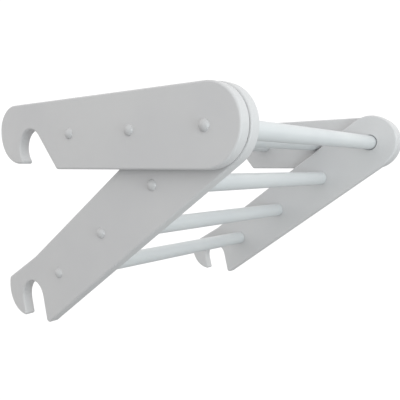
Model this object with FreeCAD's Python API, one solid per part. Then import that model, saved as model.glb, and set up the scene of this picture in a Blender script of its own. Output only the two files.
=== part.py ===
import FreeCAD, Part
import math
import os

# Folding drying rack that hooks over two horizontal rails, in lacquered wood.
#
# Two frames turn on one pivot rod at the front. The upper frame has the outer pair of side plates and
# the lower frame the inner pair. Each plate ends in a hook whose slot opens downwards. All sizes are
# in millimetres. +X runs along the rods, +Y towards the wall and +Z up. The origin is the middle of
# the upper hooks' common seat line.

# ---------------------------------------------------------------- driving dimensions

overall_width = 396.0          # over the outer faces of the upper plates
plate_thickness = 12.7
plate_gap = 0.6                # between an upper plate and the lower plate beside it
edge_rounding = 2.0            # on every outline edge of a plate

rod_diameter = 19.0
rod_pitch = 87.0               # from the pivot to the first rod, and from rod to rod
upper_rod_count = 2
lower_rod_count = 3
rod_end_rounding = 1.0
rest_margin = 2.9              # from the closed stop to the angle the rack hangs at, degrees

# Plate outlines are laid out from the pivot: "reach" runs along the plate towards the hook and
# "rise" runs square to it, upwards.
upper_plate_height = 72.0
upper_seat_beyond_rod = 69.4   # from the last rod's axis to the seat's centre
upper_hook_straight = 5.8      # of the slot's wall from its round end to the hook's tip
upper_slot_slope = 49.0        # between the slot and the plate's long edge, degrees
upper_hook_wall = 38.6         # from the slot's half width to the back of the hook
upper_tip_lift = 6.0           # of the hook's tip, above the plate's bottom edge
upper_heel_share = 0.55        # of the hook's height at its back that the lower round takes
upper_crown_share = 0.43       # and the upper round

lower_plate_height = 74.0
lower_seat_beyond_rod = 62.4
lower_seat_rise = 0.0
lower_slot_slope = 111.0
lower_nose_radius = 33.0       # the hook's round back
lower_nose_inset = 12.4        # of the nose's centre, before the end of the slot's half width
lower_nose_drop = 20.0         # of the nose's centre, below the plate's top edge
lower_nose_lower_turn = 46.0   # how far the nose turns below and above its rearmost point, degrees
lower_nose_upper_turn = 45.0
lower_crest_start = 33.0       # where the top edge starts to climb, before the seat's centre
lower_crest_slope = 5.5        # degrees

slot_width = 40.0
hook_tip_rounding = 2.4
slot_mouth_rounding = 4.0
crest_blend_radius = 60.0

# Fasteners: a wood screw through the plate into the rod's end, under a domed button plug.
counterbore_diameter = 9.6
counterbore_depth = 5.0
screw_diameter = 4.5
screw_length = 38.0            # under the head
screw_tip_length = 5.0
screw_head_diameter = 8.4
screw_head_height = 2.6
screw_recess_width = 1.1
screw_recess_length = 4.6
screw_recess_depth = 1.5
cap_diameter = 11.2
cap_dome_height = 4.0
cap_stem_length = 2.1
fit_clearance = 0.05           # radial, between pieces that are fixed to each other

# Pivot: the rod turns in a bush in each lower plate.
bush_wall = 1.2
bush_recess = 2.5              # from the lower plate's inner face
running_clearance = 0.06       # radial, between the pivot rod and a bush
washer_border = 6.5            # of a washer, round the pivot rod
washer_face_clearance = 0.05

# ---------------------------------------------------------------- derived places

rod_radius = rod_diameter / 2
closed_angle = math.degrees(math.asin((lower_plate_height / 2 + rod_radius) / rod_pitch))
fold_angle = closed_angle + rest_margin
upper_seat_reach = upper_rod_count * rod_pitch + upper_seat_beyond_rod
lower_seat_reach = lower_rod_count * rod_pitch + lower_seat_beyond_rod
upper_slot_angle = math.radians(upper_slot_slope)
upper_foot_rise = upper_tip_lift - upper_plate_height / 2
upper_wall_drop = slot_width / 2 * math.cos(upper_slot_angle)
upper_seat_rise = upper_foot_rise + upper_hook_straight * math.sin(upper_slot_angle) + upper_wall_drop
upper_outer_face = overall_width / 2
upper_inner_face = upper_outer_face - plate_thickness
lower_outer_face = upper_inner_face - plate_gap
lower_inner_face = lower_outer_face - plate_thickness
pivot = FreeCAD.Vector(0, -upper_seat_reach, -upper_seat_rise)
along_x = FreeCAD.Vector(1, 0, 0)
along_z = FreeCAD.Vector(0, 0, 1)
sides = (("left", -1), ("right", 1))
overshoot = 1.0                # how far a cutting tool runs past the face that it opens


# ---------------------------------------------------------------- outlines

def rounded_outline(corners):
    """Closed wire through corners (reach, rise, radius), in the plane x = 0."""
    points = [FreeCAD.Vector(0, reach, rise) for reach, rise, radius in corners]
    count = len(points)
    starts, middles, ends = [], [], []
    for index, corner in enumerate(points):
        radius = corners[index][2]
        back = (points[index - 1] - corner).normalize()
        ahead = (points[(index + 1) % count] - corner).normalize()
        half_angle = back.getAngle(ahead) / 2
        tangent_length = radius / math.tan(half_angle)
        inward = (back + ahead).normalize()
        starts.append(corner + back * tangent_length)
        ends.append(corner + ahead * tangent_length)
        middles.append(corner + inward * (radius / math.sin(half_angle) - radius))
    edges = []
    for index in range(count):
        edges.append(Part.Arc(starts[index], middles[index], ends[index]).toShape())
        following = starts[(index + 1) % count]
        if ends[index].distanceToPoint(following) > 1e-6:
            edges.append(Part.LineSegment(ends[index], following).toShape())
    return Part.Wire(edges)


def crossing(first, first_way, second, second_way):
    """Point where two lines cross; each is given by a point (reach, rise) and a direction."""
    gap = (second[0] - first[0], second[1] - first[1])
    determinant = first_way[0] * second_way[1] - first_way[1] * second_way[0]
    distance = (gap[0] * second_way[1] - gap[1] * second_way[0]) / determinant
    return (first[0] + first_way[0] * distance, first[1] + first_way[1] * distance)


def direction(degrees):
    """Unit direction (reach, rise) at an angle above the plate's long axis."""
    return (math.cos(math.radians(degrees)), math.sin(math.radians(degrees)))


def slot_lines(seat, slope):
    """The slot's direction into the plate, and a point on its pivot-side and its hook-side wall."""
    inward = direction(slope)
    across = (inward[1] * slot_width / 2, -inward[0] * slot_width / 2)
    pivot_wall = (seat[0] - across[0], seat[1] - across[1])
    hook_wall = (seat[0] + across[0], seat[1] + across[1])
    return inward, pivot_wall, hook_wall


def slot_end_corners(inward, pivot_wall, hook_wall):
    """Two corners that, rounded by half the slot's width, make its half-round seat."""
    radius = slot_width / 2
    corners = []
    for wall in (pivot_wall, hook_wall):
        corners.append((wall[0] + inward[0] * radius, wall[1] + inward[1] * radius, radius))
    return corners


def front_corners(height):
    """Two corners that, rounded by half the height, make the full round end about the pivot."""
    radius = height / 2
    return [(-radius, radius, radius), (-radius, -radius, radius)]


def upper_outline():
    """Outline of an upper plate: its slot slants down and forwards, behind it hangs a broad heel."""
    half = upper_plate_height / 2
    seat = (upper_seat_reach, upper_seat_rise)
    inward, pivot_wall, hook_wall = slot_lines(seat, upper_slot_slope)
    mouth = crossing(pivot_wall, inward, (0, -half), (1, 0))
    foot = upper_foot_rise
    tip = crossing(hook_wall, inward, (0, foot), (1, 0))
    back = upper_seat_reach + slot_width / 2 + upper_hook_wall
    corners = front_corners(upper_plate_height)
    corners.append((mouth[0], mouth[1], slot_mouth_rounding))
    corners += slot_end_corners(inward, pivot_wall, hook_wall)
    corners.append((tip[0], tip[1], hook_tip_rounding))
    corners.append((back, foot, (half - foot) * upper_heel_share))
    corners.append((back, half, (half - foot) * upper_crown_share))
    return rounded_outline(corners)


def lower_outline():
    """Outline of a lower plate: its slot stands nearly upright, with a round-backed hook behind."""
    half = lower_plate_height / 2
    seat = (lower_seat_reach, lower_seat_rise)
    inward, pivot_wall, hook_wall = slot_lines(seat, lower_slot_slope)
    mouth = crossing(pivot_wall, inward, (0, -half), (1, 0))
    nose = (lower_seat_reach + slot_width / 2 - lower_nose_inset, half - lower_nose_drop)
    back = nose[0] + lower_nose_radius
    heel_turn = math.radians(lower_nose_lower_turn)
    crown_turn = math.radians(lower_nose_upper_turn)
    heel = (back, nose[1] - lower_nose_radius * math.tan(heel_turn / 2))
    crown = (back, nose[1] + lower_nose_radius * math.tan(crown_turn / 2))
    heel_way = (math.sin(heel_turn), math.cos(heel_turn))
    crown_way = (math.sin(crown_turn), -math.cos(crown_turn))
    tip = crossing(hook_wall, inward, heel, heel_way)
    kink = (lower_seat_reach - lower_crest_start, half)
    crest = crossing(kink, direction(lower_crest_slope), crown, crown_way)
    corners = front_corners(lower_plate_height)
    corners.append((mouth[0], mouth[1], slot_mouth_rounding))
    corners += slot_end_corners(inward, pivot_wall, hook_wall)
    corners.append((tip[0], tip[1], hook_tip_rounding))
    corners.append((heel[0], heel[1], lower_nose_radius))
    corners.append((crown[0], crown[1], lower_nose_radius))
    corners.append((crest[0], crest[1], hook_tip_rounding))
    corners.append((kink[0], kink[1], crest_blend_radius))
    return rounded_outline(corners)


# ---------------------------------------------------------------- pieces, built about the pivot

def rod_places(count):
    """Distances of a frame's rods from the pivot."""
    return [rod_pitch * (number + 1) for number in range(count)]


def turned(profile):
    """Solid of revolution about the X axis from profile points (x, radius) that start and end on it."""
    points = [FreeCAD.Vector(x, radius, 0) for x, radius in profile]
    face = Part.Face(Part.makePolygon(points + points[:1]))
    return face.revolve(FreeCAD.Vector(0, 0, 0), along_x, 360)


def bar(radius, start, end, reach=0.0):
    """Cylinder along X from start to end, at a distance from the pivot."""
    base = FreeCAD.Vector(start, reach, 0)
    return Part.makeCylinder(radius, end - start, base, along_x)


def plate(outline, inner_face):
    """Flat plate with rounded edges, its inner face at a distance to the right of the middle."""
    outline.translate(FreeCAD.Vector(inner_face, 0, 0))
    blank = Part.Face(outline).extrude(along_x * plate_thickness)
    rims = []
    for edge in blank.Edges:
        if edge.BoundBox.XLength < edge_rounding / 2:
            rims.append(edge)
    return blank.makeFillet(edge_rounding, rims)


def drilled(blank, outer_face, places):
    """Plate with a counterbored screw hole at each place, from its outer face."""
    floor = outer_face - counterbore_depth
    for place in places:
        head_hole = bar(counterbore_diameter / 2, floor, outer_face + overshoot, place)
        shank_hole = bar(screw_diameter / 2 + fit_clearance, floor - plate_thickness, outer_face, place)
        blank = blank.cut(head_hole).cut(shank_hole)
    return blank


def upper_plate():
    """Right upper plate."""
    blank = plate(upper_outline(), upper_inner_face)
    return drilled(blank, upper_outer_face, [0.0] + rod_places(upper_rod_count))


def bush_radius():
    """Outer radius of a pivot bush."""
    return rod_radius + running_clearance + bush_wall


def lower_plate():
    """Right lower plate, with the hole for its pivot bush."""
    blank = plate(lower_outline(), lower_inner_face)
    hole = bar(bush_radius() + fit_clearance, lower_inner_face - overshoot, lower_outer_face + overshoot)
    return drilled(blank.cut(hole), lower_outer_face, rod_places(lower_rod_count))


def rod(end_face, reach):
    """Rod between two plates, with eased ends and a pilot hole for a screw in each end."""
    body = bar(rod_radius, -end_face, end_face, reach)
    rims = [edge for edge in body.Edges if edge.Closed and edge.BoundBox.XLength < rod_end_rounding]
    body = body.makeFillet(rod_end_rounding, rims)
    pilot_depth = screw_length - (plate_thickness - counterbore_depth) + overshoot
    for start, end in ((-end_face, pilot_depth - end_face), (end_face - pilot_depth, end_face)):
        body = body.cut(bar(screw_diameter / 2 + fit_clearance, start, end, reach))
    return body


def screw():
    """Right-hand screw with its axis on X and x = 0 at the plate's outer face."""
    seat = -counterbore_depth
    shank = screw_diameter / 2
    head = screw_head_diameter / 2
    top = seat + screw_head_height
    end = seat - screw_length
    profile = [(end, 0), (end + screw_tip_length, shank), (seat, shank), (seat, head)]
    profile += [(seat + screw_head_height / 2, head), (top, head / 2), (top, 0)]
    body = turned(profile)
    arms = ((screw_recess_width, screw_recess_length), (screw_recess_length, screw_recess_width))
    for width, height in arms:
        corner = FreeCAD.Vector(top - screw_recess_depth, -width / 2, -height / 2)
        body = body.cut(Part.makeBox(screw_recess_depth + overshoot, width, height, corner))
    return body


def cap():
    """Right-hand button plug with its axis on X: a stem in the counterbore and a dome on the face."""
    rim = cap_diameter / 2
    sphere_radius = (rim ** 2 + cap_dome_height ** 2) / (2 * cap_dome_height)
    centre = FreeCAD.Vector(cap_dome_height - sphere_radius, 0, 0)
    dome = Part.makeSphere(sphere_radius, centre)
    dome = dome.common(bar(rim, 0, cap_dome_height + overshoot))
    return dome.fuse(bar(counterbore_diameter / 2 - fit_clearance, -cap_stem_length, 0)).removeSplitter()


def bush():
    """Right pivot bush, flush with its plate's outer face and set in from the inner one."""
    outside = bar(bush_radius(), lower_inner_face + bush_recess, lower_outer_face)
    return outside.cut(bar(rod_radius + running_clearance, lower_inner_face - overshoot, upper_inner_face))


def washer():
    """Right pivot washer, between an upper and a lower plate."""
    start = lower_outer_face + washer_face_clearance
    end = upper_inner_face - washer_face_clearance
    disc = bar(rod_radius + washer_border, start, end)
    return disc.cut(bar(rod_radius + fit_clearance, start, end))


# ---------------------------------------------------------------- assembly

def on_side(shape, sign):
    """A right-hand piece as it is, or its mirror image on the left."""
    if sign > 0:
        return shape
    return shape.mirror(FreeCAD.Vector(0, 0, 0), along_x)


def fitted(shape, outer_face, reach):
    """A fastener moved from its own origin to a plate's outer face and a rod's place."""
    moved = shape.copy()
    moved.translate(FreeCAD.Vector(outer_face, reach, 0))
    return moved


def frame_pieces(prefix, plate_shape, outer_face, inner_face, rods):
    """Named pieces of one frame, laid level about the pivot; rods holds (name, place)."""
    pieces = {}
    for side, sign in sides:
        pieces[f"{prefix}_plate_{side}"] = on_side(plate_shape, sign)
    for name, place in rods:
        pieces[name] = rod(inner_face, place)
        for side, sign in sides:
            pieces[f"{name}_screw_{side}"] = on_side(fitted(screw(), outer_face, place), sign)
            pieces[f"{name}_cap_{side}"] = on_side(fitted(cap(), outer_face, place), sign)
    return pieces


def numbered_rods(prefix, count):
    """Names and places of a frame's rods, numbered from the pivot towards the wall."""
    return [(f"{prefix}_rod_{number + 1}", place) for number, place in enumerate(rod_places(count))]


upper_rods = [("pivot_rod", 0.0)] + numbered_rods("upper", upper_rod_count)
upper_frame = frame_pieces("upper", upper_plate(), upper_outer_face, upper_inner_face, upper_rods)
lower_rods = numbered_rods("lower", lower_rod_count)
lower_frame = frame_pieces("lower", lower_plate(), lower_outer_face, lower_inner_face, lower_rods)
for side_name, side_sign in sides:
    upper_frame[f"pivot_washer_{side_name}"] = on_side(washer(), side_sign)
    lower_frame[f"pivot_bush_{side_name}"] = on_side(bush(), side_sign)

for shape in lower_frame.values():
    shape.rotate(FreeCAD.Vector(0, 0, 0), along_x, -fold_angle)

os.makedirs("parts", exist_ok=True)
for name, shape in {**upper_frame, **lower_frame}.items():
    shape.translate(pivot)
    shape.exportStep(f"parts/{name}.step")
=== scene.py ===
import math

import bpy
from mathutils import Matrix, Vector


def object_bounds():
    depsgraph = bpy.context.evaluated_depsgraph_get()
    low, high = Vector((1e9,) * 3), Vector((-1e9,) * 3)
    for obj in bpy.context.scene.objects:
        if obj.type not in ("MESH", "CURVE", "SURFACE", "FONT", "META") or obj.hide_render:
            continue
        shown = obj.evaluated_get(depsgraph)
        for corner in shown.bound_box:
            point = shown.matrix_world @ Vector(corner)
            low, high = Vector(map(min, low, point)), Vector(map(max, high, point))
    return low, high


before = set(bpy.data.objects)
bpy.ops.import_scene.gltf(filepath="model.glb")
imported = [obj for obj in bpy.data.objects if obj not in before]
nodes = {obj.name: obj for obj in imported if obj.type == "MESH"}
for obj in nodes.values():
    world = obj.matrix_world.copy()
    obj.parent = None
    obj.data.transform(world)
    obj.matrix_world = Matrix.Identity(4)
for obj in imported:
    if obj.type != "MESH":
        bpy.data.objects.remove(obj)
cad_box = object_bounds()


# ---------------------------------------------------------------- materials

def new_material(name):
    """Empty node material with its output; returns the material, its tree and its shader."""
    material = bpy.data.materials.new(name)
    material.use_nodes = True
    tree = material.node_tree
    tree.nodes.clear()
    output = tree.nodes.new("ShaderNodeOutputMaterial")
    shader = tree.nodes.new("ShaderNodeBsdfPrincipled")
    tree.links.new(shader.outputs["BSDF"], output.inputs["Surface"])
    return material, tree, shader


def noise(tree, vector, scale, detail, roughness):
    """Noise texture on a vector."""
    texture = tree.nodes.new("ShaderNodeTexNoise")
    texture.inputs["Scale"].default_value = scale
    texture.inputs["Detail"].default_value = detail
    texture.inputs["Roughness"].default_value = roughness
    tree.links.new(vector, texture.inputs["Vector"])
    return texture.outputs["Fac"]


def remap(tree, value, from_low, from_high, to_low, to_high):
    """Value mapped from one range to another, clamped."""
    node = tree.nodes.new("ShaderNodeMapRange")
    node.inputs["From Min"].default_value = from_low
    node.inputs["From Max"].default_value = from_high
    node.inputs["To Min"].default_value = to_low
    node.inputs["To Max"].default_value = to_high
    tree.links.new(value, node.inputs["Value"])
    return node.outputs["Result"]


def mix(tree, factor, first, second):
    """Colour between two colours by a factor socket."""
    node = tree.nodes.new("ShaderNodeMix")
    node.data_type = "RGBA"
    node.inputs["A"].default_value = (*first, 1)
    node.inputs["B"].default_value = (*second, 1)
    tree.links.new(factor, node.inputs["Factor"])
    return node.outputs["Result"]


def object_space(tree, scale):
    """Object coordinates, multiplied by a scale along each axis: a small scale draws the pattern out."""
    coordinates = tree.nodes.new("ShaderNodeTexCoord")
    mapping = tree.nodes.new("ShaderNodeMapping")
    mapping.inputs["Scale"].default_value = scale
    tree.links.new(coordinates.outputs["Object"], mapping.inputs["Vector"])
    return mapping.outputs["Vector"]


def bump(tree, height, strength, distance, normal=None):
    """Bump node on a height socket."""
    node = tree.nodes.new("ShaderNodeBump")
    node.inputs["Strength"].default_value = strength
    node.inputs["Distance"].default_value = distance
    tree.links.new(height, node.inputs["Height"])
    if normal is not None:
        tree.links.new(normal, node.inputs["Normal"])
    return node.outputs["Normal"]


def lacquered_wood(name, colour, shade, grain_scale, roughness):
    """White lacquer over fine-grained wood: faint grain under a satin, slightly rippled coat."""
    material, tree, shader = new_material(name)
    fine = noise(tree, object_space(tree, grain_scale), 90.0, 5.0, 0.62)
    broad = noise(tree, object_space(tree, (1, 1, 1)), 14.0, 3.0, 0.5)
    spray = noise(tree, object_space(tree, (1, 1, 1)), 900.0, 2.0, 0.5)
    patches = remap(tree, broad, 0.35, 0.65, 0, 1)
    tree.links.new(mix(tree, patches, colour, shade), shader.inputs["Base Color"])
    gloss = remap(tree, broad, 0.3, 0.7, roughness - 0.04, roughness + 0.05)
    tree.links.new(gloss, shader.inputs["Roughness"])
    ripple = bump(tree, spray, 0.10, 0.00015)
    tree.links.new(bump(tree, fine, 0.10, 0.0003, ripple), shader.inputs["Normal"])
    shader.inputs["Specular IOR Level"].default_value = 0.45
    shader.inputs["Coat Weight"].default_value = 0.12
    shader.inputs["Coat Roughness"].default_value = 0.35
    return material


def moulded_plastic(name, colour, shade, roughness):
    """Smooth moulded plastic with a faint surface texture."""
    material, tree, shader = new_material(name)
    broad = noise(tree, object_space(tree, (1, 1, 1)), 120.0, 2.0, 0.5)
    fine = noise(tree, object_space(tree, (1, 1, 1)), 1600.0, 3.0, 0.6)
    tree.links.new(mix(tree, broad, colour, shade), shader.inputs["Base Color"])
    gloss = remap(tree, fine, 0.3, 0.7, roughness - 0.05, roughness + 0.06)
    tree.links.new(gloss, shader.inputs["Roughness"])
    tree.links.new(bump(tree, fine, 0.08, 0.0001), shader.inputs["Normal"])
    return material


def zinc_steel(name):
    """Zinc-plated steel with turning marks round the screw's axis."""
    material, tree, shader = new_material(name)
    marks = noise(tree, object_space(tree, (9, 1, 1)), 700.0, 3.0, 0.6)
    tree.links.new(mix(tree, marks, (0.52, 0.53, 0.52), (0.70, 0.70, 0.67)), shader.inputs["Base Color"])
    tree.links.new(remap(tree, marks, 0.3, 0.7, 0.24, 0.42), shader.inputs["Roughness"])
    tree.links.new(bump(tree, marks, 0.12, 0.0001), shader.inputs["Normal"])
    shader.inputs["Metallic"].default_value = 1.0
    return material


# The grain is drawn out along Y on the plates and along X on the rods.
plate_grain = (1, 0.12, 1)
rod_grain = (0.1, 1, 1)

finishes = {
    "plate": lacquered_wood("plate_lacquer", (0.60, 0.60, 0.60), (0.58, 0.58, 0.585), plate_grain, 0.42),
    "rod": lacquered_wood("rod_lacquer", (0.62, 0.64, 0.645), (0.60, 0.62, 0.63), rod_grain, 0.38),
    "cap": moulded_plastic("cap_plastic", (0.54, 0.54, 0.54), (0.525, 0.525, 0.53), 0.28),
    "bearing": moulded_plastic("bearing_plastic", (0.55, 0.56, 0.57), (0.50, 0.51, 0.53), 0.45),
    "screw": zinc_steel("zinc_screw"),
}


def finish_of(node):
    """The finish that a CAD node gets."""
    if "_plate_" in node:
        return finishes["plate"]
    if "_screw_" in node:
        return finishes["screw"]
    if "_cap_" in node:
        return finishes["cap"]
    if "bush" in node or "washer" in node:
        return finishes["bearing"]
    return finishes["rod"]


for node, piece in nodes.items():
    piece.data.materials.clear()
    piece.data.materials.append(finish_of(node))


# ---------------------------------------------------------------- floor, light and camera

low, high = cad_box
centre = (low + high) / 2
# Lengths and places below are in metres, in the part's own frame.
floor_drop = 0.16              # from the object's lowest point to the floor
floor_half_side = 30.0
floor_grey = 0.42
world_strength = 1.09
cool_white = (0.90, 1.0, 1.02)
camera_place = (-0.51975, -0.4942, -0.0209)
camera_yaw = 51.63             # degrees, from +Y towards +X
camera_pitch = 3.77            # degrees, downwards
camera_lens = 45.39            # millimetres, on a sensor 36 mm wide


def flat_material(name, colour, roughness):
    """Plain pale studio surface that a camera ray sees as white."""
    material, tree, shader = new_material(name)
    mottle = noise(tree, object_space(tree, (1, 1, 1)), 3.0, 2.0, 0.5)
    paler = tuple(min(1.0, c + 0.02) for c in colour)
    tree.links.new(mix(tree, mottle, colour, paler), shader.inputs["Base Color"])
    shader.inputs["Roughness"].default_value = roughness
    rays = tree.nodes.new("ShaderNodeLightPath")
    shader.inputs["Emission Color"].default_value = (1, 1, 1, 1)
    lift = remap(tree, rays.outputs["Is Camera Ray"], 0, 1, 0, 1 - colour[0])
    tree.links.new(lift, shader.inputs["Emission Strength"])
    return material


def add_floor():
    """Large pale floor a little below the object."""
    half = floor_half_side
    level = low.z - floor_drop
    mesh = bpy.data.meshes.new("studio_floor")
    corners = [(-half, -half, level), (half, -half, level), (half, half, level), (-half, half, level)]
    mesh.from_pydata(corners, [], [(0, 1, 2, 3)])
    floor = bpy.data.objects.new("studio_floor", mesh)
    bpy.context.scene.collection.objects.link(floor)
    mesh.materials.append(flat_material("studio_pale", (floor_grey, floor_grey, floor_grey), 0.9))


def add_light(name, position, aim, size, power, colour):
    """Square soft box beside the object; position is from the object's middle and aim is its direction."""
    data = bpy.data.lights.new(name, "AREA")
    data.shape = "SQUARE"
    data.size = size
    data.energy = power
    data.color = colour
    lamp = bpy.data.objects.new(name, data)
    lamp.location = centre + Vector(position)
    lamp.rotation_mode = "QUATERNION"
    lamp.rotation_quaternion = Vector(aim).to_track_quat("-Z", "Y")
    bpy.context.scene.collection.objects.link(lamp)


def add_world(strength):
    """Even white surroundings."""
    world = bpy.data.worlds.new("studio_world")
    world.use_nodes = True
    background = world.node_tree.nodes["Background"]
    background.inputs["Color"].default_value = (1, 1, 1, 1)
    background.inputs["Strength"].default_value = strength
    bpy.context.scene.world = world


def add_camera():
    """Camera from the left and slightly above, turned towards the far right-hand plates."""
    yaw = math.radians(camera_yaw)
    pitch = math.radians(camera_pitch)
    across = math.cos(pitch)
    forward = Vector((math.sin(yaw) * across, math.cos(yaw) * across, -math.sin(pitch)))
    data = bpy.data.cameras.new("camera")
    data.sensor_width = 36.0
    data.lens = camera_lens
    data.clip_start = 0.02
    data.clip_end = 100.0
    camera = bpy.data.objects.new("camera", data)
    camera.location = camera_place
    camera.rotation_mode = "QUATERNION"
    camera.rotation_quaternion = forward.to_track_quat("-Z", "Y")
    bpy.context.scene.collection.objects.link(camera)
    bpy.context.scene.camera = camera


add_floor()
add_world(world_strength)
add_light(
    "key_front",
    position=(-0.45, -1.45, 0.42),
    aim=(0.45, 1.45, -0.42),
    size=0.7,
    power=1.6,
    colour=cool_white,
)
add_light(
    "fill_across",
    position=(-0.30, -0.90, -0.05),
    aim=(0.9, 0.6, 0.0),
    size=0.4,
    power=2.9,
    colour=cool_white,
)
add_camera()

bpy.context.scene.view_settings.view_transform = "Standard"
bpy.context.scene.view_settings.look = "None"
